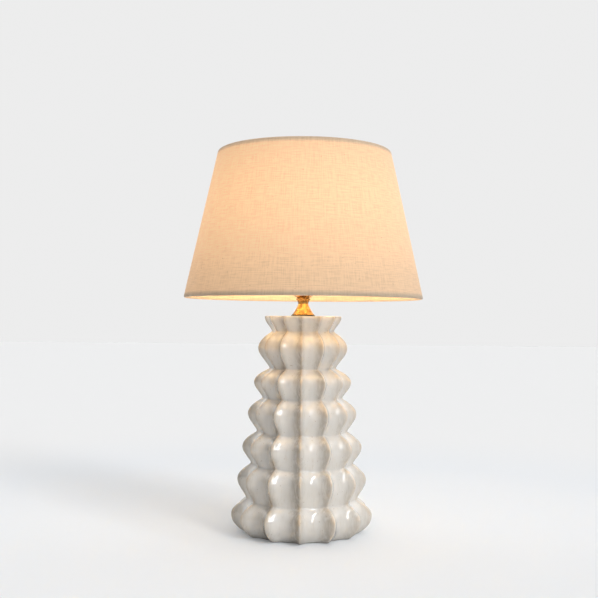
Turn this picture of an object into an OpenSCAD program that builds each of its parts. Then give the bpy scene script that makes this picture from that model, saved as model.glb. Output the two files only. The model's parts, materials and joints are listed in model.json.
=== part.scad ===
// Table lamp with a waved, fluted ceramic base, a brass neck and lampholder, and a conical
// linen shade on a three-spoke fitter. Millimetres.
// Frame: origin on the table under the middle of the base, +Z up, front towards -Y.
// One ridge of the ceramic faces the front. Every part is drawn where it sits on the lamp.

/* [Ceramic base] */
// Number of vertical ridges round the base
ridges = 13; // [9:1:17]
// Height of the ceramic's flat top above the table
base_top = 314.5; // [312:0.5:318]
// Radius of the ridges at the foot
foot_r = 84; // [80:0.5:88]
// Radius of the ridges at the widest bulge, the lowest one
belly_r = 102.5; // [98:0.5:106]
// Depth of a flute at a bulge, as a share of the radius
flute_depth = 0.14; // [0.10:0.01:0.18]
// Depth of a flute at a crease between two bulges, as a share of the radius
crease_depth = 0.06; // [0.04:0.01:0.12]
// Wall behind the flutes
wall = 6.5; // [5:0.5:8]
// Thickness of the felt pad under the foot
felt_t = 1; // [1:0.5:2]
// Height of the cord inlet's axis
inlet_z = 16; // [14:1:20]
// Radius of the cord inlet's bore
inlet_bore_r = 3.6; // [3:0.1:4]

/* [Neck and lampholder] */
// Radius of the threaded tube that holds the neck and the lampholder
tube_r = 4.95; // [4.9:0.05:5.0]
// Height of the top of the brass neck
neck_top = 338.2; // [336:0.2:342]
// Radius of the brass neck at its waist
waist_r = 7.4; // [7:0.1:8.5]
// Outer radius of the lampholder
holder_r = 19.4; // [19:0.1:20]
// Height of the lampholder's mouth above its lower end
holder_len = 58; // [57:0.5:60]
// How far the switch bar travels
switch_travel = 6; // [4:0.5:6]

/* [Shade] */
// Radius of the shade's lower edge
shade_r_low = 175; // [165:1:185]
// Radius of the shade's upper edge
shade_r_top = 127; // [120:1:134]
// Height of the shade's lower edge above the table
shade_low = 340; // [338:0.5:342]
// Height of the shade from edge to edge
shade_h = 216; // [200:1:230]
// Thickness of the linen
linen_t = 0.8; // [0.5:0.1:1]
// Thickness of the stiff lining behind the linen
lining_t = 0.8; // [0.5:0.1:1]
// Radius of the wire in the two rings and the spokes
wire_r = 1.6; // [1.4:0.1:1.8]
// Width of linen turned in over each ring
turn_in = 9; // [7:1:12]

/* [Bulb] */
// Radius of the bulb's globe
globe_r = 30; // [28:0.5:32]
// Length of the bulb from its tip contact to the top of its globe
bulb_len = 106; // [102:1:110]

/* [Hidden] */
$fn = 64;
eps = 0.01;

// Height and radius of the ridges at each crease, from the foot up, and how far the crease sags in the flutes
creases = [[felt_t, foot_r, 0], [51, 82.3, 1.5], [102, 76, 3], [148.5, 67.7, 2.5], [197, 60, 1], [240, 50, 1],
           [294, 47, 1], [base_top + 16, 42, 0]];
// Heights and radii of the ridges at the bulges, from the belly up to the flared rim
bulges = [[28, belly_r], [78, 94], [124.5, 87.3], [172.5, 79.5], [218, 71.2], [267.5, 65.3],
          [base_top - 2, 56.3]];
tiers = len(bulges);
foot_depth = 0.10;
rim_depth = 0.08;         // flutes are shallow at the rim
crease_round = 2.4;       // softness of the glazed creases
flute_power = 2.5;        // 2 gives flutes of even curve, and more gives flatter middles
rows_per_side = 4;        // rows of the ceramic's skin from a crease to a bulge
steps_per_flute = 6;      // columns of the skin from ridge to ridge
lip = 1;                  // rounding of the rim's upper edge
front = -90;              // direction of the front ridge

felt_inset = 2;           // how far the felt stays inside the ceramic's edge
foot_opening_r = 64;      // opening inside the foot, closed by the felt
foot_ring_h = 8;
foot_slope_z = 14;        // where the hollow has widened above the foot
top_plate_t = 8.5;        // ceramic under the neck
plate_low = base_top - top_plate_t;
top_cavity_r = 34;
tube_hole_r = 5.5;
thread_r = tube_r + 0.05; // bore of what screws onto the tube

tube_wall = 1.15;
tube_low = base_top - 26;
bush_t = 1.5;
inner_washer_r = 22;
washer_low = plate_low - 1.6;
spring_r = 8.4;
spring_low = washer_low - 2.2;
tube_nut_across = 17;
tube_nut_h = 4.8;

inlet_dir = front + (floor(ridges / 2) + 0.5) * 360 / ridges; // the flute at the rear
inlet_hole_r = 5.5;
spot_r = 8.5;
spot_x = outline_r(inlet_z, 1) - 1.7; // where the flat for the grommet's flange lies
grommet_flange_r = 7.5;
grommet_flange_t = 2.5;
grommet_len = 9;

gasket_r = 17.6;
gasket_t = 1.6;
neck_low = base_top + gasket_t;
neck_foot_r = 16.2;
neck_foot_t = 1.4;
flare_low_r = 14.6;
flare_low = neck_low + 2.7;
waist_z = neck_low + 16.7;
flare_power = 1.3;
neck_top_r = 8.8;
lock_ring_r = 10.7;
lock_ring_h = 2.6;

holder_low = neck_top + lock_ring_h;
tube_high = holder_low + 9.2;
holder_wall = 1;
// Outside and inside of the cap's dome, as [radius, height above the cap's lower end]
cap_outside = [[9.4, 0], [9.4, 1], [16.8, 5.7], [holder_r, 10.7]];
cap_inside = [[holder_r - holder_wall, 11.2], [16, 6.8], [8.8, 2.4], [thread_r, 2.4]];
holder_nut_across = 14;
holder_nut_h = 3;
cap_top = holder_low + 25.2;
stop_r = 24;
stop_top = holder_low + 30.4;
stop_t = 2;
holder_top = holder_low + holder_len;
thread_out_r = holder_r + 0.4;

insert_r = 17.2;
sleeve_r = 17.3;
insert_low = holder_low + 12.2;
insert_top = holder_low + 30.7;
bar_r = 2.5;
bar_fit = 0.1;            // running clearance of the bar in its holes
bar_z = holder_low + 18.7;
bar_gap = 1;              // left between a knob and the holder at the end of the travel
knob_r = 3.8;
knob_len = 6;
knob_left = -(holder_r + bar_gap); // inner faces of the two knobs at rest, along X
knob_right = holder_r + bar_gap + switch_travel;
bar_grip = 4;             // how deep the bar sits in each knob
slider = [10, 8, 8];      // moving contact block on the bar
slider_gap = 0.5;
terminal_y = 11;
terminal_r = 1.5;
strip_w = 5;              // width and thickness of the contact strips
strip_t = 0.5;
strip_z = insert_low + 7; // lower ends of the strips, on the terminals
shell_r = 13.6;
shell_t = 0.5;
shell_hole_r = 11;
shell_low = holder_low + 31.8;
shell_top = holder_low + 55;

ring_bore_r = thread_out_r + 0.08;
fitter_low = stop_top + 0.3;
fitter_t = 1.5;
fitter_bore_r = 21;
fitter_r = 29.5;
ring_low = fitter_low + fitter_t + 0.3;
ring_flange_r = 28;
ring_grip_r = 24.5;
ring_h = 8;
ring_flange_t = 2;
ring_notches = 18;
ring_notch_r = 1.6;

shade_top = shade_low + shade_h;
lean = (shade_r_low - shade_r_top) / shade_h; // radius lost per unit of height
wire_gap = 0.2;
glue_gap = 0.04;          // between the linen and its lining
spoke_r = 1.5;
spoke_z = fitter_low + fitter_t / 2;
spoke_dirs = [front + 60, front - 60, front + 180];
// Radius of the shade's outer face at height z
function shade_r(z) = shade_r_low - (z - shade_low) * lean;
// Centre of the wire inside the lining at height z, as [radius, height]
function wire_at(z) = [shade_r(z) - linen_t - lining_t - wire_r - wire_gap, z];
low_wire = wire_at(shade_low + linen_t + wire_r);
top_wire = wire_at(shade_top - linen_t - wire_r);
spoke_bend = wire_at(spoke_z) - [2, 0];

tip_z = holder_low + 34.1;
bulb_top = tip_z + bulb_len;
globe_z = bulb_top - globe_r;
body_top = globe_z - 13;
cap_r = 13.2;
cap_low = tip_z + 3.5;
cap_high = tip_z + 25;
globe_t = 1.2;
body_t = 1.6;
body_low = cap_high + 0.3;
body_r_low = cap_r + 0.6;
body_r_top = sqrt(pow(globe_r, 2) - pow(body_top - globe_z, 2));

brass = [0.72, 0.52, 0.24];
steel = [0.66, 0.67, 0.68];
glaze = [0.90, 0.88, 0.84];

// ---- Outline of the ceramic ----

// How far the outline has dropped in from a bulge, at share t of the way to the crease below it
function drop_below(t) = t < 1 ? t * t * (2 - t) : t;
// The same from the belly down to the foot
function drop_foot(t) = pow(t, 2.3);
// The same towards the crease above it, which the bulge meets more steeply
function drop_above(t) = 1.25 * pow(t, 2.1);
// The larger of two radii, with the corner between them rounded
function soft_max(a, b) = (a + b + sqrt(pow(a - b, 2) + pow(crease_round, 2))) / 2;
// Flute depth at a bulge and at a crease; valley is 0 on a ridge and 1 in the middle of a flute
function bulge_share(i, valley) = 1 - valley * (i == tiers - 1 ? rim_depth : flute_depth);
function crease_share(i, valley) = 1 - valley * (i == 0 ? foot_depth : crease_depth);
// Radius of one tier's own bulge at height z
function tier_r(i, z, valley) =
    let (mid = bulges[i], side = z < mid[0] ? i : i + 1, end = creases[side],
         r_mid = mid[1] * bulge_share(i, valley),
         r_end = end[1] * crease_share(side, valley) - crease_round / 2,
         t = (z - mid[0]) / (end[0] - mid[0]))
    r_mid - (r_mid - r_end) * (z > mid[0] ? drop_above(t) : i == 0 ? drop_foot(t) : drop_below(t));
// Radius of the whole outline at height z: every tier's bulge, joined in rounded creases
function outline_r(z, valley, i = 0) =
    i == tiers - 1 ? tier_r(i, z, valley) : soft_max(tier_r(i, z, valley), outline_r(z, valley, i + 1));
// Radius at share u of the way from the middle of a flute to its ridge
function skin_r(z, u) = let (v = outline_r(z, 1)) v + (outline_r(z, 0) - v) * pow(u, flute_power);

// Rows of the skin as [height, sag in the flutes], from crease to bulge to crease, then the rounded rim
function rows_between(low, high, sag_low, sag_high) =
    [for (k = [0:rows_per_side - 1]) let (s = k / rows_per_side)
        [low + (high - low) * s, sag_low * pow(1 - s, 2) + sag_high * pow(s, 2)]];
rows = concat([for (i = [0:tiers - 2])
                  each concat(rows_between(creases[i][0], bulges[i][0], creases[i][2], 0),
                              rows_between(bulges[i][0], creases[i + 1][0], 0, creases[i + 1][2]))],
              rows_between(creases[tiers - 1][0], bulges[tiers - 1][0], creases[tiers - 1][2], 0),
              [[bulges[tiers - 1][0], 0], [base_top, 0]]);
columns = ridges * steps_per_flute;

module ceramic_skin() {
    last = len(rows) - 1;
    function column_u(c) = abs(2 * (c % steps_per_flute) / steps_per_flute - 1);
    function skin_point(k, c) =
        let (z = rows[k][0], u = column_u(c), a = front + c * 360 / columns,
             r = skin_r(z, u) - (k == last ? lip : 0))
        [r * cos(a), r * sin(a), z - rows[k][1] * (1 - u * u)];
    points = concat([for (k = [0:last], c = [0:columns - 1]) skin_point(k, c)],
                    [[0, 0, felt_t], [0, 0, base_top]]);
    low_mid = len(points) - 2;
    top_mid = len(points) - 1;
    sides = [for (k = [0:last - 1], c = [0:columns - 1])
                let (d = (c + 1) % columns, a = k * columns)
                each [[a + c, a + columns + c, a + d], [a + d, a + columns + c, a + columns + d]]];
    ends = [for (c = [0:columns - 1])
                let (d = (c + 1) % columns, a = last * columns)
                each [[low_mid, c, d], [top_mid, a + d, a + c]]];
    polyhedron(points = points, faces = concat(sides, ends), convexity = 10);
}

// The hollow inside the ceramic, one wall's thickness in from the middles of the flutes
module ceramic_cavity() {
    keys = concat([[foot_slope_z, 0]],
                  [for (i = [0:tiers - 2]) each [[bulges[i][0], 0], [creases[i + 1][0], creases[i + 1][2]]]]);
    rotate_extrude()
        polygon(concat([[0, felt_t - 1], [foot_opening_r, felt_t - 1], [foot_opening_r, foot_ring_h]],
                       [for (k = keys) [outline_r(k[0], 1) - wall, k[0] - k[1]]],
                       [[top_cavity_r, plate_low], [0, plate_low]]));
}

// Turns +X towards the cord inlet and lifts it to the inlet's height
module at_inlet() {
    translate([0, 0, inlet_z]) rotate([0, 0, inlet_dir]) rotate([0, 90, 0]) children();
}

// A flat ring between two heights
module washer(r_in, r_out, low, high) {
    rotate_extrude() translate([r_in, low]) square([r_out - r_in, high - low]);
}

// A bore along X through the lampholder, where the switch bar runs
module bar_bore(r) {
    translate([-2 * holder_r, 0, bar_z]) rotate([0, 90, 0]) cylinder(r = r, h = 4 * holder_r);
}

// A hexagonal nut on the tube, given its width across flats
module tube_hex(across, low, high) {
    difference() {
        translate([0, 0, low]) cylinder(r = across / 2 / cos(30), h = high - low, $fn = 6);
        translate([0, 0, low - 1]) cylinder(r = thread_r, h = high - low + 2);
    }
}

// ---- Base ----

module felt_pad() {
    color([0.25, 0.24, 0.23]) cylinder(r = outline_r(felt_t, 1) - felt_inset, h = felt_t);
}

module ceramic_base() {
    color(glaze) difference() {
        ceramic_skin();
        ceramic_cavity();
        translate([0, 0, plate_low - 1]) cylinder(r = tube_hole_r, h = top_plate_t + 2);
        at_inlet() translate([0, 0, foot_opening_r]) cylinder(r = inlet_hole_r, h = spot_x);
        at_inlet() translate([0, 0, spot_x]) cylinder(r = spot_r, h = spot_x);
    }
}

module cord_grommet() {
    color([0.16, 0.15, 0.14]) at_inlet() difference() {
        union() {
            translate([0, 0, spot_x]) cylinder(r = grommet_flange_r, h = grommet_flange_t);
            translate([0, 0, spot_x + grommet_flange_t - grommet_len])
                cylinder(r = inlet_hole_r - 0.2, h = grommet_len);
        }
        translate([0, 0, spot_x - grommet_len]) cylinder(r = inlet_bore_r, h = 2 * grommet_len);
    }
}

// ---- Neck ----

module neck_gasket() {
    color([0.12, 0.11, 0.10]) washer(tube_hole_r, gasket_r, base_top, base_top + gasket_t);
}

module brass_neck() {
    steps = 8;
    flare = [for (k = [0:steps]) let (s = 1 - k / steps)
                [waist_r + (flare_low_r - waist_r) * pow(s, flare_power),
                 waist_z - s * (waist_z - flare_low)]];
    foot = [[thread_r, neck_low], [neck_foot_r, neck_low], [neck_foot_r, neck_low + neck_foot_t]];
    color(brass) rotate_extrude()
        polygon(concat(foot, flare,
                       [[neck_top_r, neck_top], [thread_r, neck_top]]));
}

module neck_lock_ring() {
    edge_r = lock_ring_h / 2;
    color(brass) rotate_extrude() {
        translate([lock_ring_r - edge_r, neck_top + edge_r]) circle(r = edge_r);
        translate([thread_r, neck_top]) square([lock_ring_r - edge_r - thread_r, lock_ring_h]);
    }
}

module threaded_tube() {
    color(steel) washer(tube_r - tube_wall, tube_r, tube_low, tube_high);
}

// Plastic bush on the tube's lower end, which keeps the cord off its edge
module tube_end_bush() {
    inner = tube_r - tube_wall - 0.25;
    outer = tube_r + bush_t;
    color([0.9, 0.9, 0.88]) rotate_extrude()
        polygon([[inner, tube_low - 2], [outer, tube_low - 2], [outer, tube_low + 4],
                 [tube_r + eps, tube_low + 4], [tube_r + eps, tube_low - eps], [inner, tube_low - eps]]);
}

module inner_washer() {
    color(steel) washer(thread_r + 0.3, inner_washer_r, washer_low, plate_low);
}

module spring_washer() {
    gap = 1.5;
    color(steel) difference() {
        washer(thread_r + 0.2, spring_r, spring_low, washer_low);
        translate([thread_r, -gap / 2, spring_low - 1]) cube([spring_r, gap, washer_low - spring_low + 2]);
    }
}

module tube_nut() {
    color(steel) tube_hex(tube_nut_across, spring_low - tube_nut_h, spring_low);
}

// ---- Lampholder ----

module lampholder_cap() {
    cap_h = cap_top - holder_low;
    rim = [[holder_r, cap_h], [holder_r - holder_wall, cap_h]];
    color(brass) difference() {
        translate([0, 0, holder_low]) rotate_extrude()
            polygon(concat(cap_outside, rim, cap_inside, [[thread_r, 0]]));
        bar_bore(bar_r + bar_fit);
    }
}

module holder_nut() {
    seat = holder_low + cap_inside[3][1];
    color(steel) tube_hex(holder_nut_across, seat, seat + holder_nut_h);
}

// A tube with a spigot inside the cap, a stop flange under the shade's fitter and a threaded mouth
module lampholder_body() {
    spigot = 4;
    inner = holder_r - holder_wall;
    spigot_in = inner - 0.9;
    stop_low = stop_top - stop_t;
    color(brass) rotate_extrude()
        polygon([[spigot_in, cap_top - spigot], [inner, cap_top - spigot], [inner, cap_top],
                 [holder_r, cap_top], [holder_r, stop_low], [stop_r, stop_low], [stop_r, stop_top],
                 [thread_out_r, stop_top], [thread_out_r, holder_top - 1], [thread_out_r - 0.8, holder_top],
                 [inner, holder_top], [inner, stop_low], [spigot_in, stop_low]]);
}

module holder_insert() {
    box = slider + [switch_travel, 0, 0] + 2 * slider_gap * [1, 1, 1];
    color([0.93, 0.92, 0.88]) difference() {
        translate([0, 0, insert_low]) cylinder(r = insert_r, h = insert_top - insert_low);
        bar_bore(bar_r + bar_fit);
        translate([0, 0, bar_z]) cube(box, center = true);
        for (side = [-1, 1]) translate([0, side * terminal_y, insert_low]) {
            translate([0, 0, -1]) cylinder(r = terminal_r + 0.1, h = 8);
            translate([-strip_w / 2 - 0.1, -strip_t, 6]) cube([strip_w + 0.2, 2 * strip_t, insert_r]);
        }
    }
}

// A lining between the screw shell and the lampholder's body, turned in over the shell's upper edge
module insulating_sleeve() {
    low = insert_top + 0.1;
    lip_low = shell_top + 0.2;
    lip_r = shell_r + 0.4;
    color([0.15, 0.14, 0.13]) rotate_extrude()
        polygon([[lip_r + shell_t, low], [sleeve_r, low], [sleeve_r, holder_top - 1],
                 [lip_r, holder_top - 1], [lip_r, lip_low], [lip_r + shell_t, lip_low]]);
}

module screw_shell() {
    color(brass) difference() {
        rotate_extrude()
            polygon([[shell_hole_r, shell_low], [shell_r + shell_t, shell_low],
                     [shell_r + shell_t, shell_top], [shell_r, shell_top],
                     [shell_r, shell_low + shell_t], [shell_hole_r, shell_low + shell_t]]);
        // room for the centre contact
        translate([-4, -20, shell_low - 1]) cube([8, 12, 2.5]);
    }
}

// A bent strip across X, from its side view as [y, z]
module contact_strip(path) {
    color(brass) translate([-strip_w / 2, 0, 0]) rotate([90, 0, 90])
        linear_extrude(height = strip_w) polygon(path);
}

// Spring tongue from its terminal, over the insert and up under the bulb's tip
module centre_contact() {
    t = strip_t;
    low = insert_top + 0.1;
    high = tip_z - 0.1;
    contact_strip([[-terminal_y - t / 2, strip_z], [-terminal_y + t / 2, strip_z],
                   [-terminal_y + t / 2, low], [-5, low], [2, high - t], [4, high - t], [4, high],
                   [1.8, high], [-5.2, low + t], [-terminal_y - t / 2, low + t]]);
}

// Strip from the other terminal to the underside of the screw shell
module shell_contact() {
    t = strip_t;
    foot = terminal_y + 2.5;
    contact_strip([[terminal_y - t / 2, strip_z], [terminal_y + t / 2, strip_z],
                   [terminal_y + t / 2, shell_low - t], [foot, shell_low - t], [foot, shell_low],
                   [terminal_y - t / 2, shell_low]]);
}

module terminal_screws() {
    color(brass) for (side = [-1, 1])
        translate([0, side * terminal_y, 0]) {
            translate([0, 0, insert_low]) cylinder(r = terminal_r, h = 6.5);
            difference() {
                translate([0, 0, insert_low - 2]) cylinder(r = 2.8, h = 2);
                translate([-3, -0.4, insert_low - 2.5]) cube([6, 0.8, 1.3]);
            }
        }
}

// ---- Switch: a bar through the lampholder, pushed from either end ----

module switch_bar() {
    color(brass) translate([knob_left - bar_grip, 0, bar_z]) rotate([0, 90, 0])
        cylinder(r = bar_r, h = knob_right - knob_left + 2 * bar_grip);
}

module switch_knob() {
    rotate([0, 90, 0]) rotate_extrude()
        polygon([[0, bar_grip], [bar_r, bar_grip], [bar_r, 0], [knob_r - 0.5, 0], [knob_r, 0.5],
                 [knob_r, knob_len - 2], [knob_r - 0.6, knob_len - 0.8], [knob_r - 2, knob_len],
                 [0, knob_len]]);
}

module switch_knobs() {
    color([0.16, 0.15, 0.14]) {
        translate([knob_right, 0, bar_z]) switch_knob();
        translate([knob_left, 0, bar_z]) mirror([1, 0, 0]) switch_knob();
    }
}

module switch_slider() {
    color([0.93, 0.92, 0.88]) difference() {
        translate([switch_travel / 2, 0, bar_z]) cube(slider, center = true);
        bar_bore(bar_r);
    }
}

// ---- Shade and its fitting ----

module shade_ring() {
    color(brass) difference() {
        rotate_extrude()
            polygon([[ring_bore_r, ring_low], [ring_flange_r, ring_low],
                     [ring_flange_r, ring_low + ring_flange_t], [ring_grip_r, ring_low + ring_flange_t],
                     [ring_grip_r, ring_low + ring_h], [ring_bore_r, ring_low + ring_h]]);
        for (k = [0:ring_notches - 1])
            rotate([0, 0, k * 360 / ring_notches])
                translate([ring_grip_r + 0.4, 0, ring_low + ring_flange_t])
                    cylinder(r = ring_notch_r, h = ring_h);
    }
}

module fitter_ring() {
    color(steel) washer(fitter_bore_r, fitter_r, fitter_low, fitter_low + fitter_t);
}

module wire_ring(centre) {
    rotate_extrude() translate(centre) circle(r = wire_r);
}

// One spoke, along +X: level from the fitter ring, then down beside the lining to the lower ring
module spoke(r) {
    down = low_wire - [0.8, 0] - spoke_bend;
    translate([fitter_r - 1, 0, spoke_z]) rotate([0, 90, 0])
        cylinder(r = r, h = spoke_bend[0] - fitter_r + 1);
    translate([spoke_bend[0], 0, spoke_z]) sphere(r = r);
    translate([spoke_bend[0], 0, spoke_z]) rotate([0, 180 - atan2(down[0], -down[1]), 0])
        cylinder(r = r, h = norm(down));
}

module fitter_spokes() {
    color(steel) difference() {
        for (a = spoke_dirs) rotate([0, 0, a]) spoke(spoke_r);
        translate([0, 0, spoke_z - 5]) cylinder(r = fitter_r, h = 10);
        wire_ring(low_wire);
    }
}

module bottom_wire_ring() {
    color(steel) wire_ring(low_wire);
}

module top_wire_ring() {
    color(steel) wire_ring(top_wire);
}

// A conical band between two heights, from one depth behind the shade's outer face to another
module cone_band(outer, inner, low, high) {
    rotate_extrude()
        polygon([[shade_r(low) - outer, low], [shade_r(high) - outer, high],
                 [shade_r(high) - inner, high], [shade_r(low) - inner, low]]);
}

module shade_lining() {
    color([0.96, 0.94, 0.88])
        cone_band(linen_t + glue_gap, linen_t + lining_t, shade_low + linen_t + glue_gap,
                  shade_top - linen_t - glue_gap);
}

// The linen outside, with its edges turned in over the rings and notched where the spokes pass
module shade_linen() {
    inside = linen_t + lining_t + 2 * wire_r + 2 * wire_gap;
    color([0.93, 0.84, 0.70]) difference() {
        union() {
            cone_band(0, linen_t, shade_low, shade_top);
            cone_band(inside, inside + linen_t, shade_low, shade_low + turn_in);
            cone_band(inside, inside + linen_t, shade_top - turn_in, shade_top);
            cone_band(0, inside + linen_t, shade_low, shade_low + linen_t);
            cone_band(0, inside + linen_t, shade_top - linen_t, shade_top);
        }
        for (a = spoke_dirs) rotate([0, 0, a]) spoke(spoke_r + 0.3);
    }
}

// ---- Bulb ----

module bulb_globe() {
    color([1, 0.96, 0.88]) difference() {
        translate([0, 0, globe_z]) sphere(r = globe_r);
        translate([0, 0, globe_z]) sphere(r = globe_r - globe_t);
        translate([0, 0, body_top - 2 * globe_r]) cylinder(r = 2 * globe_r, h = 2 * globe_r);
    }
}

module bulb_body() {
    steps = 6;
    outer = [for (k = [0:steps]) let (s = k / steps)
                [body_r_low + (body_r_top - body_r_low) * pow(s, 1.25),
                 body_low + (body_top - body_low) * s]];
    inner = [for (k = [steps:-1:0]) outer[k] - [body_t, 0]];
    color([0.95, 0.95, 0.93]) rotate_extrude() polygon(concat(outer, inner));
}

module led_board() {
    board_r = body_r_top - body_t - 1.2;
    color([0.85, 0.85, 0.85]) translate([0, 0, body_top - 2]) cylinder(r = board_r, h = 1.5);
}

// Upright circuit board with its capacitor
module driver_board() {
    color([0.2, 0.45, 0.3]) {
        translate([-9, -0.7, cap_high - 8]) cube([18, 1.4, body_top - cap_high + 4]);
        translate([0, 0.7, cap_high + 6]) rotate([-90, 0, 0]) cylinder(r = 4, h = 7);
    }
}

module bulb_cap() {
    color([0.75, 0.75, 0.73]) rotate_extrude()
        polygon([[9, cap_low - 1.5], [cap_r, cap_low + 1], [cap_r, cap_high], [cap_r - 0.5, cap_high],
                 [cap_r - 0.5, cap_low + 1.4], [9, cap_low - 0.9]]);
}

module bulb_insulator() {
    top = cap_low - 0.2;
    color([0.1, 0.1, 0.1]) rotate_extrude()
        polygon([[0, tip_z + 1], [5, tip_z + 1], [8.9, cap_low - 1.4], [8.9, top], [0, top]]);
}

module bulb_tip_contact() {
    color([0.75, 0.75, 0.73]) rotate_extrude()
        polygon([[0, tip_z], [3, tip_z], [4.6, tip_z + 1 - eps], [0, tip_z + 1 - eps]]);
}

felt_pad();
ceramic_base();
cord_grommet();
neck_gasket();
brass_neck();
neck_lock_ring();
threaded_tube();
tube_end_bush();
inner_washer();
spring_washer();
tube_nut();
lampholder_cap();
holder_nut();
lampholder_body();
holder_insert();
insulating_sleeve();
screw_shell();
centre_contact();
shell_contact();
terminal_screws();
switch_bar();
switch_knobs();
switch_slider();
shade_ring();
fitter_ring();
fitter_spokes();
bottom_wire_ring();
top_wire_ring();
shade_lining();
shade_linen();
bulb_globe();
bulb_body();
led_board();
driver_board();
bulb_cap();
bulb_insulator();
bulb_tip_contact();
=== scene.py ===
"""Looks of the table lamp: glazed ceramic base, brass neck and lampholder, linen shade and lit bulb.

Outlines are in millimetres and are scaled to metres as they become meshes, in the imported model's
frame: +Z up, the front towards -Y, origin on the table under the middle of the base.
"""

import json
import math

import bmesh
import bpy
from mathutils import Matrix, Vector, noise


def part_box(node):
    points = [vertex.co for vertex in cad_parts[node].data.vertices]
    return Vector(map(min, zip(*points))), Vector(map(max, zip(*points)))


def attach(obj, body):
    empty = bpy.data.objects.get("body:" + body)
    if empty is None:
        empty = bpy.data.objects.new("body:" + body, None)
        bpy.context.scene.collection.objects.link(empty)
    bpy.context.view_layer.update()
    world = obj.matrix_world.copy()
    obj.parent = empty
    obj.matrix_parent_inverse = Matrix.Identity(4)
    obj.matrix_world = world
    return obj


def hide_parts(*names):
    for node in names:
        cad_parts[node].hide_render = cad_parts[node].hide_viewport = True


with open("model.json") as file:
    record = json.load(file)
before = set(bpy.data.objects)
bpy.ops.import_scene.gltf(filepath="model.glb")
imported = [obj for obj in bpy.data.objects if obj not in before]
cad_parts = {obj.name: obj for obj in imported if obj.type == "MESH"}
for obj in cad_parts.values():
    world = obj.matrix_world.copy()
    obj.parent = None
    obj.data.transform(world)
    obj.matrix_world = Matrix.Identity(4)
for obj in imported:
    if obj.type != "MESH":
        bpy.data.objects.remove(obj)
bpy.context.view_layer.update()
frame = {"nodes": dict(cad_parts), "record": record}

MM = 0.001


# ---- Places taken from the frame, in millimetres ----

def span(node):
    """Lowest and highest corner of a CAD node, in millimetres."""
    low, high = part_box(node)
    return low / MM, high / MM


def reach(node):
    """Radius of a CAD node that is round about the lamp's axis."""
    return span(node)[1].x


FOOT_Z = span("felt_pad")[1].z
BASE_TOP = span("ceramic_base")[1].z
NECK_LOW, NECK_TOP = span("brass_neck")[0].z, span("brass_neck")[1].z
SHADE_LOW, SHADE_TOP = span("shade_linen")[0].z, span("shade_linen")[1].z
SHADE_R_LOW = span("shade_linen")[1].x
SHADE_R_TOP = 127.0     # the node's box gives only the lower and larger radius
GLOBE_R = reach("bulb_globe")
GLOBE_Z = span("bulb_globe")[1].z - GLOBE_R


# ---- Camera ----

def add_camera():
    """The camera stands a little right of the front ridge and looks slightly upwards."""
    distance, height, sideways = 1.380, 0.305, -0.0063
    orbit, pitch, roll = math.radians(1.6), math.radians(1.45), math.radians(0.5)
    data = bpy.data.cameras.new("camera")
    data.sensor_width = 36.0
    data.lens = 56.5
    data.clip_start, data.clip_end = 0.05, 60.0
    camera = bpy.data.objects.new("camera", data)
    bpy.context.scene.collection.objects.link(camera)
    camera.matrix_world = (Matrix.Rotation(orbit, 4, "Z")
                           @ Matrix.Translation((sideways, -distance, height))
                           @ Matrix.Rotation(math.pi / 2 + pitch, 4, "X")
                           @ Matrix.Rotation(roll, 4, "Z"))
    bpy.context.scene.camera = camera


add_camera()


# ---- Node trees ----

def add(tree, kind, sockets=None, **settings):
    """A new shader node. sockets maps an input's name or number to a value or to another node's output."""
    made = tree.nodes.new("ShaderNode" + kind)
    for name, value in settings.items():
        setattr(made, name, value)
    for name, value in (sockets or {}).items():
        if isinstance(value, bpy.types.NodeSocket):
            tree.links.new(value, made.inputs[name])
        else:
            made.inputs[name].default_value = value
    return made


def calc(tree, operation, a, b=0.0, c=0.0):
    """The output of a Math node."""
    return add(tree, "Math", {0: a, 1: b, 2: c}, operation=operation).outputs[0]


def ramp(tree, value, low, high, out_low=0.0, out_high=1.0):
    """value's place between low and high, as a smooth step between two outputs."""
    made = add(tree, "MapRange", {"Value": value, "From Min": low, "From Max": high,
                                  "To Min": out_low, "To Max": out_high},
               interpolation_type="SMOOTHSTEP")
    return made.outputs["Result"]


def blend_colour(tree, share, first, second):
    """The output of a colour Mix node, share of the way from first to second."""
    made = add(tree, "Mix", {}, data_type="RGBA")
    for number, value in ((0, share), (6, first), (7, second)):
        if isinstance(value, bpy.types.NodeSocket):
            tree.links.new(value, made.inputs[number])
        else:
            made.inputs[number].default_value = value if number == 0 else (*value, 1.0)
    return made.outputs[2]


def grain(tree, vector, scale, detail=2.0, roughness=0.5, stretch=None):
    """A noise value about 0.5. stretch scales the vector along its three axes first."""
    if stretch is not None:
        vector = add(tree, "Mapping", {"Vector": vector, "Scale": stretch}).outputs[0]
    made = add(tree, "TexNoise", {"Vector": vector, "Scale": scale, "Detail": detail,
                                  "Roughness": roughness})
    return made.outputs["Fac"]


def new_material(name):
    """An empty material with its output and a Principled shader: (material, tree, shader)."""
    material = bpy.data.materials.new(name)
    material.use_nodes = True
    tree = material.node_tree
    tree.nodes.clear()
    shader = add(tree, "BsdfPrincipled")
    output = add(tree, "OutputMaterial")
    tree.links.new(shader.outputs[0], output.inputs["Surface"])
    return material, tree, shader


def set_inputs(tree, shader, values):
    """Sets each named input of a shader to a value, a colour or another node's output."""
    for name, value in values.items():
        if isinstance(value, bpy.types.NodeSocket):
            tree.links.new(value, shader.inputs[name])
        else:
            shader.inputs[name].default_value = (*value, 1.0) if isinstance(value, tuple) else value


def bump(tree, height, depth, normal=None):
    """A bump normal whose full height is depth metres."""
    sockets = {"Height": height, "Distance": depth, "Strength": 1.0}
    if normal is not None:
        sockets["Normal"] = normal
    return add(tree, "Bump", sockets).outputs[0]


# ---- Materials ----

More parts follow.
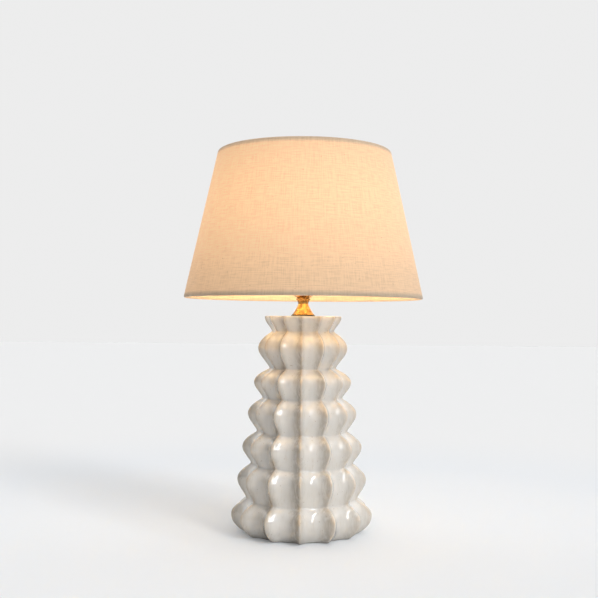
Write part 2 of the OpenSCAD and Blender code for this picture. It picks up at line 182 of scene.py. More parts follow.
def moulded(name, light, dark, roughness, metallic=0.0, size=3.0, relief=0.03, **more):
    """A plain surface with mottled colour, uneven gloss and fine relief. size and relief are in
    millimetres."""
    material, tree, shader = new_material(name)
    place = add(tree, "TexCoord").outputs["Object"]
    mottle = grain(tree, place, 1 / (size * 4 * MM), 4.0)
    fine = grain(tree, place, 1 / (size * MM), 3.0, 0.6)
    tint = blend_colour(tree, ramp(tree, mottle, 0.3, 0.7), light, dark)
    set_inputs(tree, shader, {
        "Base Color": tint, "Metallic": metallic,
        "Roughness": ramp(tree, fine, 0.25, 0.75, roughness * 0.8, min(1.0, roughness * 1.2)),
        "Normal": bump(tree, fine, relief * MM), **more})
    return material


def glaze_material():
    """Warm white glaze that breaks to honey where it is thin on the ridges, with brown runs beside them. Part
    of the honey is painted warm light on the tiers' upper sides, and part of the brown is painted shade on
    the flutes' left-facing flanks.
    """
    material, tree, shader = new_material("glaze")
    place = add(tree, "TexCoord").outputs["Object"]
    honey_and_painted_light = add(tree, "Attribute", attribute_name="honey_and_painted_light").outputs["Fac"]
    runs_and_painted_shade = add(tree, "Attribute", attribute_name="runs_and_painted_shade").outputs["Fac"]
    cloud = grain(tree, place, 22.0, 3.0)
    streak = grain(tree, place, 120.0, 3.0, 0.6, stretch=(1.0, 1.0, 0.35))
    run = grain(tree, place, 1.0, 4.0, 0.65, stretch=(330.0, 330.0, 45.0))
    fine = grain(tree, place, 900.0, 2.0)
    body = blend_colour(tree, ramp(tree, cloud, 0.3, 0.7), (0.80, 0.78, 0.745), (0.74, 0.715, 0.67))
    body = blend_colour(tree, ramp(tree, run, 0.52, 0.75, 0.0, 0.5), body, (0.66, 0.61, 0.53))
    # Brown runs, darkened into painted shade on the flutes' left-facing flanks and round the lamp's left side
    brown_runs_and_shade = calc(tree, "MULTIPLY", runs_and_painted_shade, ramp(tree, run, 0.34, 0.58, 0.45, 1.0))
    body = blend_colour(tree, brown_runs_and_shade, body, (0.22, 0.17, 0.105))
    # Honey on the ridges: thin glaze, with painted warm light on each tier's upper side and painted shade on
    # the left-facing flank
    broken_honey_and_light = calc(tree, "MULTIPLY", honey_and_painted_light, ramp(tree, streak, 0.30, 0.58))
    honey_and_warm_light_tint = blend_colour(tree, fine, (0.78, 0.65, 0.48), (0.58, 0.42, 0.26))
    tint = blend_colour(tree, calc(tree, "MULTIPLY", broken_honey_and_light, 0.75), body, honey_and_warm_light_tint)
    speck = ramp(tree, grain(tree, place, 420.0, 0.0), 0.80, 0.84)
    tint = blend_colour(tree, calc(tree, "MULTIPLY", speck, 0.6), tint, (0.42, 0.33, 0.24))
    ripple = bump(tree, grain(tree, place, 55.0, 2.0), 0.5 * MM)
    set_inputs(tree, shader, {
        "Base Color": tint,
        "Roughness": ramp(tree, cloud, 0.2, 0.8, 0.05, 0.08),
        "Coat Weight": 1.0, "Coat Roughness": 0.02, "Coat IOR": 1.5,
        "Normal": bump(tree, fine, 0.01 * MM, ripple)})
    return material


def brass_material(name, light=(0.54, 0.30, 0.09), dark=(0.26, 0.125, 0.035), roughness=0.24):
    """Aged brass: turned rings, patches of darker tarnish and uneven gloss."""
    material, tree, shader = new_material(name)
    place = add(tree, "TexCoord").outputs["Object"]
    patch = grain(tree, place, 160.0, 4.0, 0.6)
    turned = grain(tree, place, 900.0, 2.0, 0.5, stretch=(0.05, 0.05, 4.0))
    fine = grain(tree, place, 2500.0, 2.0)
    tint = blend_colour(tree, ramp(tree, patch, 0.35, 0.70), light, dark)
    set_inputs(tree, shader, {
        "Base Color": tint, "Metallic": 1.0,
        "Roughness": ramp(tree, patch, 0.3, 0.7, roughness * 0.7, roughness * 1.5),
        "Normal": bump(tree, calc(tree, "ADD", turned, calc(tree, "MULTIPLY", fine, 0.3)), 0.012 * MM)})
    return material


def woven(tree, cloth):
    """Plain slubby weave from a map in metres: (thread height, darker yarn, fleck)."""
    pitch, stray = 0.75 * MM, 0.5 * MM
    cloudy = add(tree, "TexNoise", {"Vector": cloth, "Scale": 160.0, "Detail": 2.0}).outputs["Color"]
    wander = add(tree, "VectorMath", {0: cloudy, 1: (0.5, 0.5, 0.5)}, operation="SUBTRACT").outputs[0]
    moved = add(tree, "VectorMath", {0: wander, 1: (stray,) * 3, 2: cloth},
                operation="MULTIPLY_ADD").outputs[0]
    split = add(tree, "SeparateXYZ", {0: moved})
    threads = []
    for axis in (0, 1):
        turn = calc(tree, "MULTIPLY", split.outputs[axis], math.pi / pitch)
        threads.append(calc(tree, "ABSOLUTE", calc(tree, "SINE", turn)))
    height = calc(tree, "ADD", calc(tree, "MULTIPLY", threads[0], 0.5),
                  calc(tree, "MULTIPLY", threads[1], 0.5))
    weft = grain(tree, cloth, 1.0, 3.0, 0.6, stretch=(50.0, 680.0, 1.0))
    warp = grain(tree, cloth, 1.0, 3.0, 0.6, stretch=(680.0, 42.0, 1.0))
    yarn = calc(tree, "ADD", calc(tree, "MULTIPLY", ramp(tree, weft, 0.3, 0.75), 0.55),
                calc(tree, "MULTIPLY", ramp(tree, warp, 0.3, 0.75), 0.45))
    fleck = ramp(tree, grain(tree, cloth, 1.0, 0.0, 0.5, stretch=(260.0, 420.0, 1.0)), 0.79, 0.85)
    return height, yarn, fleck


def linen_material():
    """Natural linen, glowing where the bulb lights it from behind."""
    material, tree, shader = new_material("linen")
    cloth = add(tree, "UVMap", uv_map="cloth").outputs[0]
    glow = add(tree, "Attribute", attribute_name="glow").outputs["Fac"]
    height, yarn, fleck = woven(tree, cloth)
    tint = blend_colour(tree, yarn, (0.45, 0.39, 0.315), (0.36, 0.305, 0.235))
    tint = blend_colour(tree, calc(tree, "MULTIPLY", fleck, 0.45), tint, (0.24, 0.17, 0.11))
    through = blend_colour(tree, yarn, (1.0, 0.55, 0.23), (1.0, 0.51, 0.195))
    shut = calc(tree, "SUBTRACT", 1.0, calc(tree, "MULTIPLY", fleck, 0.22))
    loose = ramp(tree, yarn, 0.25, 0.75, 1.06, 0.90)
    set_inputs(tree, shader, {
        "Base Color": tint, "Roughness": 0.9,
        "Sheen Weight": 0.15, "Sheen Roughness": 0.5,
        "Emission Color": through,
        "Emission Strength": calc(tree, "MULTIPLY", calc(tree, "MULTIPLY", glow, shut), loose),
        "Normal": bump(tree, calc(tree, "ADD", height, calc(tree, "MULTIPLY", yarn, -0.6)), 0.12 * MM)})
    return material


def felt_material():
    """Pressed dark grey felt."""
    material, tree, shader = new_material("felt")
    place = add(tree, "TexCoord").outputs["Object"]
    fibre = grain(tree, place, 700.0, 5.0, 0.7)
    tint = blend_colour(tree, fibre, (0.13, 0.12, 0.11), (0.27, 0.25, 0.23))
    set_inputs(tree, shader, {"Base Color": tint, "Roughness": 0.97, "Sheen Weight": 0.4,
                              "Normal": bump(tree, fibre, 0.3 * MM)})
    return material


def opal_material():
    """The lit globe, dimmer towards its neck."""
    material, tree, shader = new_material("opal")
    place = add(tree, "TexCoord").outputs["Object"]
    height = add(tree, "SeparateXYZ", {0: place}).outputs[2]
    dim_z, full_z = GLOBE_Z - 14, GLOBE_Z + 6
    lit = ramp(tree, height, dim_z * MM, full_z * MM, 0.72, 1.0)
    strength = calc(tree, "MULTIPLY", lit, BULB_STRENGTH)
    set_inputs(tree, shader, {"Base Color": (0.93, 0.91, 0.86), "Roughness": 0.55,
                              "Emission Color": BULB_COLOUR, "Emission Strength": strength})
    return material


BULB_COLOUR = (1.0, 0.66, 0.29)
BULB_STRENGTH = 118.0

GLAZE = glaze_material()
BRASS = brass_material("brass")
CONTACT = brass_material("contact_brass", (0.88, 0.72, 0.42), (0.72, 0.52, 0.26), 0.28)
LINEN = linen_material()
FELT = felt_material()
OPAL = opal_material()
LINING = moulded("lining", (0.90, 0.87, 0.80), (0.86, 0.82, 0.74), 0.6, size=1.5, relief=0.02)
RUBBER = moulded("black_rubber", (0.030, 0.027, 0.024), (0.050, 0.045, 0.040), 0.62, size=1.0)
ZINC = moulded("zinc_steel", (0.62, 0.62, 0.61), (0.50, 0.50, 0.50), 0.34, 1.0, size=1.2, relief=0.01)
NICKEL = moulded("nickel", (0.72, 0.70, 0.66), (0.62, 0.60, 0.56), 0.20, 1.0, size=1.5, relief=0.006)
WHITE_PLASTIC = moulded("white_plastic", (0.84, 0.84, 0.82), (0.80, 0.80, 0.77), 0.42, size=1.0)
BLACK_PLASTIC = moulded("black_plastic", (0.035, 0.033, 0.031), (0.050, 0.047, 0.044), 0.40, size=0.8)
PORCELAIN = moulded("porcelain", (0.86, 0.85, 0.80), (0.80, 0.78, 0.72), 0.16, size=2.0)
WHITE_WIRE = moulded("white_wire", (0.84, 0.83, 0.80), (0.78, 0.77, 0.73), 0.38, size=0.8, relief=0.02)
BOARD_WHITE = moulded("board_white", (0.80, 0.80, 0.79), (0.74, 0.74, 0.72), 0.35, size=1.0)
BOARD_GREEN = moulded("board_green", (0.06, 0.22, 0.10), (0.09, 0.28, 0.14), 0.35, size=1.0)

CAD_FINISHES = {
    "felt": FELT, "black_rubber": RUBBER, "brass": BRASS, "zinc_steel": ZINC, "white_plastic": WHITE_PLASTIC,
    "black_plastic": BLACK_PLASTIC, "porcelain": PORCELAIN, "nickel": NICKEL, "contact_brass": CONTACT,
    "white_wire": WHITE_WIRE, "lining": LINING, "board_white": BOARD_WHITE, "board_green": BOARD_GREEN,
    "glaze": GLAZE, "linen": LINEN, "opal": OPAL,
}


def finish_cad_nodes():
    """Gives every CAD node the procedural finish of its slot in the record."""
    for part in frame["record"]["subparts"]:
        node = frame["nodes"][part["node"]]
        node.data.materials.clear()
        node.data.materials.append(CAD_FINISHES[part["material_slot"]])


finish_cad_nodes()


# ---- Making meshes ----

def finish_mesh(name, bm, body, material, nodes, crease_angle=35.0):
    """Turns a bmesh in millimetres into a named piece that rides on body and stands for nodes."""
    bmesh.ops.scale(bm, vec=(MM, MM, MM), verts=bm.verts)
    bmesh.ops.recalc_face_normals(bm, faces=bm.faces)
    mesh = bpy.data.meshes.new(name)
    bm.to_mesh(mesh)
    bm.free()
    mesh.materials.append(material)
    mesh.shade_smooth()
    mesh.set_sharp_from_angle(angle=math.radians(crease_angle))
    piece = bpy.data.objects.new(name, mesh)
    bpy.context.scene.collection.objects.link(piece)
    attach(piece, body)
    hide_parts(*nodes)
    return piece


def rounded(points, radius):
    """A closed outline with each corner off the axis replaced by a small arc-like curve."""
    steps = 3
    made = []
    count = len(points)
    for i in range(count):
        before, here, after = (Vector(points[(i + k) % count]) for k in (-1, 0, 1))
        if here.x < 1e-6:
            made.append(here)
            continue
        to_before, to_after = before - here, after - here
        cut = min(radius, to_before.length * 0.45, to_after.length * 0.45)
        start, end = here + to_before.normalized() * cut, here + to_after.normalized() * cut
        for k in range(steps + 1):
            t = k / steps
            made.append(start * (1 - t) ** 2 + here * 2 * t * (1 - t) + end * t * t)
    return made


def ring_mesh(outline, segments):
    """A bmesh of a closed outline of (radius, height) turned about the axis."""
    bm = bmesh.new()
    loops = []
    for k in range(segments):
        angle = 2 * math.pi * k / segments
        loops.append([bm.verts.new((r * math.cos(angle), r * math.sin(angle), z)) for r, z in outline])
    count = len(outline)
    for k in range(segments):
        here, there = loops[k], loops[(k + 1) % segments]
        for i in range(count):
            j = (i + 1) % count
            if outline[i][0] < 1e-6 and outline[j][0] < 1e-6:
                continue
            bm.faces.new((here[i], there[i], there[j], here[j]))
    bmesh.ops.remove_doubles(bm, verts=bm.verts, dist=1e-5)
    bmesh.ops.dissolve_degenerate(bm, dist=1e-5, edges=bm.edges)
    return bm


def turned(name, outline, corner, body, slot, material, nodes):
    """A turned piece whose corners are rounded over up to corner millimetres."""
    segments = 96
    finish_mesh(name, ring_mesh(rounded(outline, corner), segments), body, material, nodes)


# ---- Ceramic base ----

RIDGES = 13
# Height and radius of the ridges at each crease, and how far the crease sags in the flutes
CREASES = [(FOOT_Z, 84, 0), (51, 82.3, 1.5), (102, 76, 3), (148.5, 67.7, 2.5), (197, 60, 1), (240, 50, 1),
           (294, 47, 1), (BASE_TOP + 16, 42, 0)]
# Height and radius of the ridges at each bulge
BULGES = [(28, 102.5), (78, 94), (124.5, 87.3), (172.5, 79.5), (218, 71.2), (267.5, 65.3),
          (BASE_TOP - 2, 56.3)]
# How deep the flutes are, as a share of the ridges' radius, at the bulges, creases, foot and rim
FLUTE_DEPTH, CREASE_DEPTH, FOOT_DEPTH, RIM_DEPTH = 0.14, 0.06, 0.10, 0.08
CREASE_ROUND = 2.4      # softness of the glazed creases
RIDGE_ROUND = 0.11      # share of a flute's half width over which the glaze rounds off its ridge
FLUTE_POWER = 2.5       # 2 gives flutes of even curve, and more gives flatter middles
# The rounding starts with the flute's own slope and ends level, and FLUTE_TOP is the height that it reaches
FLUTE_BEND = FLUTE_POWER * (1 - RIDGE_ROUND) ** (FLUTE_POWER - 1) / (2 * RIDGE_ROUND)
FLUTE_TOP = (1 - RIDGE_ROUND) ** FLUTE_POWER + FLUTE_BEND * RIDGE_ROUND ** 2
WOBBLE, RIPPLE = 0.35, 0.12     # unevenness of the hand-made skin, wide and narrow
FRONT = -math.pi / 2


def tier_radius(tier, z, valley):
    """Radius of one tier's bulge at height z; valley is 0 on a ridge and 1 in the middle of a flute."""
    mid_z, mid_r = BULGES[tier]
    side = tier if z < mid_z else tier + 1
    end_z, end_r, _ = CREASES[side]
    depth_mid = RIM_DEPTH if tier == len(BULGES) - 1 else FLUTE_DEPTH
    depth_end = FOOT_DEPTH if side == 0 else CREASE_DEPTH
    r_mid = mid_r * (1 - valley * depth_mid)
    r_end = end_r * (1 - valley * depth_end) - CREASE_ROUND / 2
    t = (z - mid_z) / (end_z - mid_z)       # from 0 at the bulge to 1 at the crease
    if tier == 0 and z < mid_z:
        drop = t ** 2.3
    elif z < mid_z:
        drop = t * t * (2 - t) if t < 1 else t
    else:
        drop = 1.25 * t ** 2.1
    return r_mid - (r_mid - r_end) * drop


def outline_radius(z, valley):
    """Radius of the whole outline: every tier's bulge, joined in rounded creases."""
    radius = tier_radius(len(BULGES) - 1, z, valley)
    for tier in range(len(BULGES) - 2, -1, -1):
        other = tier_radius(tier, z, valley)
        radius = (other + radius + math.hypot(other - radius, CREASE_ROUND)) / 2
    return radius


def flute_share(u):
    """How far the skin has risen from a flute's middle at u = 0 to its rounded ridge at u = 1 or -1."""
    edge = 1 - abs(u)
    if edge > RIDGE_ROUND:
        return abs(u) ** FLUTE_POWER / FLUTE_TOP
    return 1 - edge * edge * FLUTE_BEND / FLUTE_TOP


def skin_rows():
    """Rows of the skin as (height, sag in the flutes), closer together at each crease and bulge."""
    per_side = 14
    ease = [(1 - math.cos(math.pi * k / per_side)) / 2 for k in range(per_side)]
    rows = []
    for tier, (mid_z, _) in enumerate(BULGES):
        (low, _, sag_low), (high, _, sag_high) = CREASES[tier], CREASES[tier + 1]
        rows += [(low + (mid_z - low) * e, sag_low * (1 - e) ** 2) for e in ease]
        if tier < len(BULGES) - 1:
            rows += [(mid_z + (high - mid_z) * e, sag_high * e ** 2) for e in ease]
    return rows


def ceramic_loops():
    """The wall's closed section, from the foot up the skin, over the rim and down the hollow, as
    (height, radius on a ridge, radius in a flute, sag in the flute) for each row."""
    lip = 1.2
    rows = [(z, outline_radius(z, 0), outline_radius(z, 1), sag) for z, sag in skin_rows()]
    for k in range(5):
        turn = math.pi / 2 * k / 4
        z = BASE_TOP - lip + lip * math.sin(turn)
        cut = lip * (1 - math.cos(turn))
        rows.append((z, outline_radius(z, 0) - cut, outline_radius(z, 1) - cut, 0))
    # The wall's and top plate's thickness, the radii of the tube's hole and the foot's opening, and the
    # height of the foot's ring
    wall, plate, hole, foot_open, foot_ring = 6.5, 8.5, 5.5, 64, 8
    inside = [(BASE_TOP, r) for r in (40, 25, 12, hole + 0.4)]
    inside += [(BASE_TOP - 0.4, hole), (BASE_TOP - plate, hole)]
    inside += [(BASE_TOP - plate, r) for r in (14, 25, 34)]
    keys = [(foot_ring + 6, 0)]
    for tier in range(len(BULGES) - 1):
        keys += [(BULGES[tier][0], 0), (CREASES[tier + 1][0], CREASES[tier + 1][2])]
    inside += [(z - sag, outline_radius(z, 1) - wall) for z, sag in reversed(keys)]
    inside += [(foot_ring, foot_open), (FOOT_Z, foot_open)]
    return rows + [(z, r, r, 0) for z, r in inside]


def ceramic_base():
    """The fluted skin, waved by its tiers, round a plain hollow. The cord's hole is cut afterwards."""
    steps = 24              # columns from one ridge to the next
    columns = RIDGES * steps
    rows = ceramic_loops()
    skin = len(skin_rows())
    bm = bmesh.new()
    for name in ("honey_and_painted_light", "runs_and_painted_shade"):
        bm.verts.layers.float.new(name)
    honey_and_painted_light, runs_and_painted_shade = bm.verts.layers.float["honey_and_painted_light"], bm.verts.layers.float["runs_and_painted_shade"]
    grid = []
    for number, (z, ridge_r, flute_r, sag) in enumerate(rows):
        ring = []
        for c in range(columns):
            u = 2 * (c % steps) / steps - 1
            angle = FRONT + 2 * math.pi * c / columns
            radius = flute_r + (ridge_r - flute_r) * flute_share(u)
            if number < skin:
                spot = Vector((math.cos(angle), math.sin(angle), z / 80))
                radius += WOBBLE * noise.noise(spot * 2.2) + RIPPLE * noise.noise(spot * 9.0)
            drop = sag * (1 - flute_share(u))
            vert = bm.verts.new((radius * math.cos(angle), radius * math.sin(angle), z - drop))
            # Per vertex: thin-glaze honey with painted warm light and shade, and brown runs with painted
            # shade
            if number < skin + 4:
                vert[honey_and_painted_light], vert[runs_and_painted_shade] = thin_glaze_and_painted_light(z, u), run_glaze_and_painted_shade(u, angle)
            ring.append(vert)
        grid.append(ring)
    for i in range(len(grid)):
        here, above = grid[i], grid[(i + 1) % len(grid)]
        for c in range(columns):
            d = (c + 1) % columns
            bm.faces.new((here[c], here[d], above[d], above[c]))
    return finish_mesh("glazed_base", bm, "base", GLAZE, ["ceramic_base"], 50.0)


def thin_glaze_and_painted_light(z, u):
    """Where the ridges show honey, from 0 to 1: the glaze running thin along the ridges, with painted shade
    where the band is wider on the flank that u = 1 stands for, and painted warm light where it is strongest
    on each tier's upper side."""
    # Painted shade: the band is wider on the left-facing flank at u = 1
    band = 0.40 if u > 0 else 0.20
    near_ridge = max(0.0, (abs(u) - 1 + band) / band) ** 1.5
    # Painted warm light: the honey is strongest on each tier's upper side, where the bulb's light falls
    upper = 0.45
    for tier, (mid_z, _) in enumerate(BULGES):
        top_z = CREASES[tier + 1][0]
        if mid_z - 6 < z <= top_z:
            upper = max(upper, min(1.0, (z - mid_z + 6) / (0.45 * (top_z - mid_z))))
    return near_ridge * upper


def run_glaze_and_painted_shade(u, angle):
    """Where the clay's brown shows, from 0 to 1, partly glaze runs and partly painted shade: mostly on the
    flank at u = 1, which faces away from the key light, and wider and stronger round the lamp's left side,
    away from the key light."""
    # Painted shade: stronger on the lamp's left side, away from the key light
    left = max(0.0, -math.cos(angle))
    start, most = 0.10 - 0.60 * left, 1.0
    if u < start:
        u, start, most = -u, 0.60, 0.4
    s = min(1.0, max(0.0, (u - start) / (0.95 - start)))
    return most * s * s * (3 - 2 * s) * (0.60 - 0.40 * math.cos(angle))


def cut_cord_hole(base):
    """Drills the cord's hole and the flat for its grommet, where the CAD model has them, as one stepped
    cutter. start and end are its distances from the lamp's axis."""
    low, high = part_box("cord_grommet")
    middle = (low + high) / 2
    outward = Vector((middle.x, middle.y, 0)).normalized()
    turn = outward.to_track_quat("Z", "Y").to_matrix().to_4x4()
    flange_t, hole_r, spot_r, start, end = 2.5, 5.5, 8.5, 62, 121
    spot = high.y / MM - flange_t
    bm = ring_mesh([(0, start), (hole_r, start), (hole_r, spot), (spot_r, spot), (spot_r, end), (0, end)], 48)
    place = Matrix.Translation((0, 0, middle.z)) @ turn @ Matrix.Scale(MM, 4)
    bmesh.ops.transform(bm, matrix=place, verts=bm.verts)
    bmesh.ops.recalc_face_normals(bm, faces=bm.faces)
    mesh = bpy.data.meshes.new("cord_hole_cutter")
    bm.to_mesh(mesh)
    bm.free()
    cutter = bpy.data.objects.new("cord_hole_cutter", mesh)
    bpy.context.scene.collection.objects.link(cutter)
    apply_boolean(base, cutter)
    bpy.data.objects.remove(cutter)


def apply_boolean(piece, cutter):
    """Takes cutter away from piece for good."""
    modifier = piece.modifiers.new("cut", "BOOLEAN")
    modifier.operation = "DIFFERENCE"
    modifier.solver = "EXACT"
    modifier.object = cutter
    graph = bpy.context.evaluated_depsgraph_get()
    made = bpy.data.meshes.new_from_object(piece.evaluated_get(graph), preserve_all_data_layers=True,
                                           depsgraph=graph)
    piece.modifiers.clear()
    piece.data = made


cut_cord_hole(ceramic_base())


# ---- Brass neck ----

TUBE_R = 5.0


def brass_neck():
    """The waisted cone between the ceramic and the lampholder, flared and stepped at its foot."""
    low, top = NECK_LOW, NECK_TOP
    bore, foot, flare, waist, top_r = TUBE_R, 16.2, 14.6, 7.4, 8.8
    waist_z, flare_z = low + 16.7, low + 2.7
    outline = [(bore, low), (foot, low), (foot, low + 1.3), (foot - 0.7, low + 1.8),
               (flare + 0.3, low + 2.1)]
    for k in range(17):
        s = 1 - k / 16
        outline.append((waist + (flare - waist) * s ** 1.3, waist_z - s * (waist_z - flare_z)))
    outline += [(waist + 0.5, top - 2.6), (top_r, top - 1.6), (top_r, top), (bore, top)]
    turned("brass_neck_turned", outline, 0.3, "base", "brass", BRASS, ["brass_neck"])


def neck_lock_ring():
    """The beaded ring that holds the neck."""
    low, high = span("neck_lock_ring")[0].z, span("neck_lock_ring")[1].z
    radius, half = reach("neck_lock_ring"), (high - low) / 2
    bead = [(radius - half + half * math.cos(a), low + half + half * math.sin(a))
            for a in (math.radians(-90 + 15 * k) for k in range(13))]
    turned("neck_bead", [(TUBE_R, low)] + bead + [(TUBE_R, high)], 0.05, "base", "brass", BRASS,
           ["neck_lock_ring"])


brass_neck()
neck_lock_ring()


# ---- Shade ----

def shade_radius(z):
    """Radius of the shade's outer face at height z."""
    return SHADE_R_LOW + (SHADE_R_TOP - SHADE_R_LOW) * (z - SHADE_LOW) / (SHADE_TOP - SHADE_LOW)


LINEN_T = 0.8
HEM, TOP_FOLD = 7.0, 4.0    # heights of the edges where doubled cloth and a wire hold back the light
SEAM = math.radians(205)    # at the left rear
LAP, LAP_STEP = 12.0, 0.5   # width of the seam's lap and the step at its end
GLOW_REACH = 145.0          # distance from the bulb at which the cloth's direct light is 1
INNER_GLOW_LOW, INNER_GLOW_TOP = 0.62, 0.30     # for the turned-in edges at the bottom and the top


def linen_line():
    """The cloth's middle line, from the turned-in lower edge, round the lower wire, up the outside and
    round the upper wire to the turned-in upper edge, as (depth behind the outer face, height)."""
    half, inner, turn, round_wire = LINEN_T / 2, 5.6, 9.0, 2.6
    line = [(inner, SHADE_LOW + turn), (inner, SHADE_LOW + turn * 0.6), (inner, SHADE_LOW + round_wire)]
    bend = (inner - half) / 2
    for k in range(1, 12):
        a = math.pi * k / 12
        line.append((half + bend + bend * math.cos(a), SHADE_LOW + half + bend * (1 - math.sin(a))))
    rows = 40
    low, high = SHADE_LOW + half + bend, SHADE_TOP - half - bend
    line += [(half, low + (high - low) * k / rows) for k in range(rows + 1)]
    for k in range(1, 12):
        a = math.pi * k / 12
        line.append((half + bend - bend * math.cos(a), SHADE_TOP - half - bend * (1 - math.sin(a))))
    line += [(inner, SHADE_TOP - round_wire), (inner, SHADE_TOP - turn * 0.6), (inner, SHADE_TOP - turn)]
    return line


def glow_at(depth, z):
    """How brightly the cloth shows the bulb from behind, from its distance and the layers in the way."""
    bulb = Vector((0.0, GLOBE_Z))
    spot = Vector((shade_radius(z), z))
    away = spot - bulb
    lean = math.atan2(SHADE_R_LOW - SHADE_R_TOP, SHADE_TOP - SHADE_LOW)
    outward = Vector((math.cos(lean), math.sin(lean)))
    direct = max(0.0, away.normalized().dot(outward)) * (GLOW_REACH / away.length) ** 2
    below = min(1.0, max(0.0, (z - SHADE_LOW + 30) / 90))
    light = 0.32 + 0.44 * direct * (0.45 + 0.55 * below)
    if depth > 2:
        return INNER_GLOW_LOW if z < GLOBE_Z else INNER_GLOW_TOP
    if z < SHADE_LOW + HEM:
        light *= 0.30
    if z > SHADE_TOP - TOP_FOLD:
        light *= 0.35
    return light


def linen_cover():
    """The shade's linen, one closed sheet of cloth wrapped over both wires and lapped at the seam."""
    columns = 240
    line = linen_line()
    half = LINEN_T / 2
    bm = bmesh.new()
    glow = bm.verts.layers.float.new("glow")
    cloth = bm.loops.layers.uv.new("cloth")
    points = [Vector((shade_radius(z) - depth, z)) for depth, z in line]
    lengths = [0.0]
    for before, after in zip(points, points[1:]):
        lengths.append(lengths[-1] + (after - before).length)
    sides = []
    for i in range(len(points)):
        before, after = points[max(i - 1, 0)], points[min(i + 1, len(points) - 1)]
        along = (after - before).normalized()
        sides.append(Vector((along.y, -along.x)) * half)
    section = [(points[i] + sides[i], i) for i in range(len(points))]
    section += [(points[i] - sides[i], i) for i in reversed(range(len(points)))]
    rings = []
    for c in range(columns):
        angle = 2 * math.pi * c / columns
        ring = []
        for spot, i in section:
            r, z = spot.x + seam_step(angle) + sway(angle, spot.y), spot.y
            vert = bm.verts.new((r * math.cos(angle), r * math.sin(angle), z))
            vert[glow] = glow_at(line[i][0], line[i][1])
            ring.append(vert)
        rings.append(ring)
    count = len(section)
    mid_r = (SHADE_R_LOW + SHADE_R_TOP) / 2
    for c in range(columns):
        here, there = rings[c], rings[(c + 1) % columns]
        for i in range(count):
            j = (i + 1) % count
            face = bm.faces.new((here[i], there[i], there[j], here[j]))
            corners = ((c, i), (c + 1, i), (c + 1, j), (c, j))
            for loop, (column, place) in zip(face.loops, corners):
                around = 2 * math.pi * column / columns * mid_r * MM
                loop[cloth].uv = (around, lengths[section[place][1]] * MM)
    piece = finish_mesh("linen_cover", bm, "shade", LINEN, ["shade_linen"], 60.0)


def seam_step(angle):
    """How far the cloth lies in or out at the seam: it ramps up over the lap and ends in a small step."""
    lap = LAP / 150         # as an angle, at about the shade's mean radius
    past = (angle - SEAM) % (2 * math.pi)
    return -LAP_STEP * (1 - past / lap) if past < lap else 0.0


def sway(angle, z):
    """The slight waviness of cloth glued to a hand-rolled cone."""
    return 0.18 * noise.noise(Vector((math.cos(angle) * 2.4, math.sin(angle) * 2.4, z / 90)))


linen_cover()


# ---- Bulb ----

def bulb_globe():
    """The opal globe, a thin shell from its open neck to its top."""
    neck, wall = -25.6, 1.2
    outer = [(GLOBE_R * math.cos(a), GLOBE_Z + GLOBE_R * math.sin(a))
             for a in (math.radians(neck + (90 - neck) * k / 28) for k in range(29))]
    inner = [((GLOBE_R - wall) / GLOBE_R * r, GLOBE_Z + (z - GLOBE_Z) * (GLOBE_R - wall) / GLOBE_R)
             for r, z in reversed(outer)]
    bm = ring_mesh([Vector(p) for p in outer + inner], 72)
    finish_mesh("opal_globe", bm, "bulb", OPAL, ["bulb_globe"], 40.0)


bulb_globe()


# ---- Floor and light ----

BACKDROP = 0.845        # brightness of the pale backdrop
FLOOR_GLOW = 0.12       # the part of the floor's brightness that no shadow takes away
FLOOR_BOUNCE = 0.66     # how much light the floor throws back up at the lamp
# The floor's colour near the lamp, cooler against the bulb's warm light, and further off
FLOOR_NEAR, FLOOR_FAR = (0.675, 0.71, 0.75), (0.737, 0.741, 0.745)
# Three upright soft panels, as (direction from the front, half width, lower edge, upper edge) in degrees and
# strength: a narrow one at the right front, a broad weak one round it and the pale wall behind the lamp
KEY_PANEL = (44, 4.5, 10, 84, 10.8)
FRONT_PANEL = (34, 38, 0, 60, 0.66)
BACK_PANEL = (180, 75, 0, 50, 0.95)
SKY_STRENGTH = 0.82


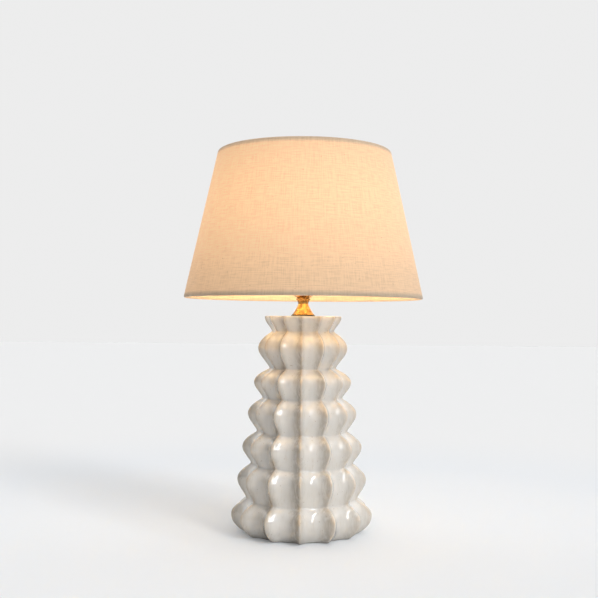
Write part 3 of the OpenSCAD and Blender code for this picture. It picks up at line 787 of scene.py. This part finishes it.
def add_floor():
    """A seamless pale floor. It throws back a little less light than it shows."""
    mesh = bpy.data.meshes.new("floor")
    half = 12.0
    corners = [(-half, -half, 0), (half, -half, 0), (half, half, 0), (-half, half, 0)]
    mesh.from_pydata(corners, [], [(0, 1, 2, 3)])
    material, tree, shader = new_material("pale_floor")
    camera_ray = add(tree, "LightPath").outputs["Is Camera Ray"]
    place = add(tree, "TexCoord").outputs["Object"]
    away = add(tree, "VectorMath", {0: place}, operation="LENGTH").outputs["Value"]
    shown = blend_colour(tree, ramp(tree, away, 0.3, 1.3), FLOOR_NEAR, FLOOR_FAR)
    tint = blend_colour(tree, camera_ray, (FLOOR_BOUNCE,) * 3, shown)
    set_inputs(tree, shader, {"Base Color": tint, "Roughness": 0.9, "Specular IOR Level": 0.0,
                              "Emission Color": (1.0, 1.0, 1.0),
                              "Emission Strength": calc(tree, "MULTIPLY", camera_ray, FLOOR_GLOW)})
    mesh.materials.append(material)
    floor = bpy.data.objects.new("floor", mesh)
    bpy.context.scene.collection.objects.link(floor)


def panel_light(tree, side, up, panel, soft):
    """Brightness of one panel in the direction (side, up), with edges that fade over twice soft."""
    middle, half, low, high = (math.radians(value) for value in panel[:4])
    turn = calc(tree, "WRAP", calc(tree, "SUBTRACT", side, middle), math.pi, -math.pi)
    aside = calc(tree, "ABSOLUTE", turn)
    across = ramp(tree, aside, half - soft, half + soft, 1.0, 0.0)
    rise = calc(tree, "MULTIPLY", ramp(tree, up, low - soft, low + soft),
                ramp(tree, up, high - soft, high + soft, 1.0, 0.0))
    return calc(tree, "MULTIPLY", calc(tree, "MULTIPLY", across, rise), panel[4])


def add_world():
    """An even pale backdrop for the camera, and for the light a soft sky and the three panels."""
    world = bpy.data.worlds.new("studio")
    bpy.context.scene.world = world
    world.use_nodes = True
    tree = world.node_tree
    tree.nodes.clear()
    x, y, z = add(tree, "SeparateXYZ", {0: add(tree, "TexCoord").outputs["Generated"]}).outputs
    side = calc(tree, "ARCTAN2", x, calc(tree, "MULTIPLY", y, -1.0))
    up = calc(tree, "ARCSINE", z)
    above = calc(tree, "MAXIMUM", z, 0.0)
    light = calc(tree, "MULTIPLY", calc(tree, "MULTIPLY", above, above), SKY_STRENGTH)
    for panel, soft in ((KEY_PANEL, 1.5), (FRONT_PANEL, 10), (BACK_PANEL, 15)):
        light = calc(tree, "ADD", light, panel_light(tree, side, up, panel, math.radians(soft)))
    lighting = add(tree, "Background", {"Color": (1.0, 1.0, 1.0, 1.0), "Strength": light})
    seen = add(tree, "Background", {"Color": (1.0, 1.0, 1.0, 1.0), "Strength": BACKDROP})
    camera_ray = add(tree, "LightPath").outputs["Is Camera Ray"]
    both = add(tree, "MixShader", {0: camera_ray, 1: lighting.outputs[0], 2: seen.outputs[0]})
    output = add(tree, "OutputWorld")
    tree.links.new(both.outputs[0], output.inputs["Surface"])


add_floor()
add_world()
bpy.context.scene.view_settings.view_transform = "Standard"
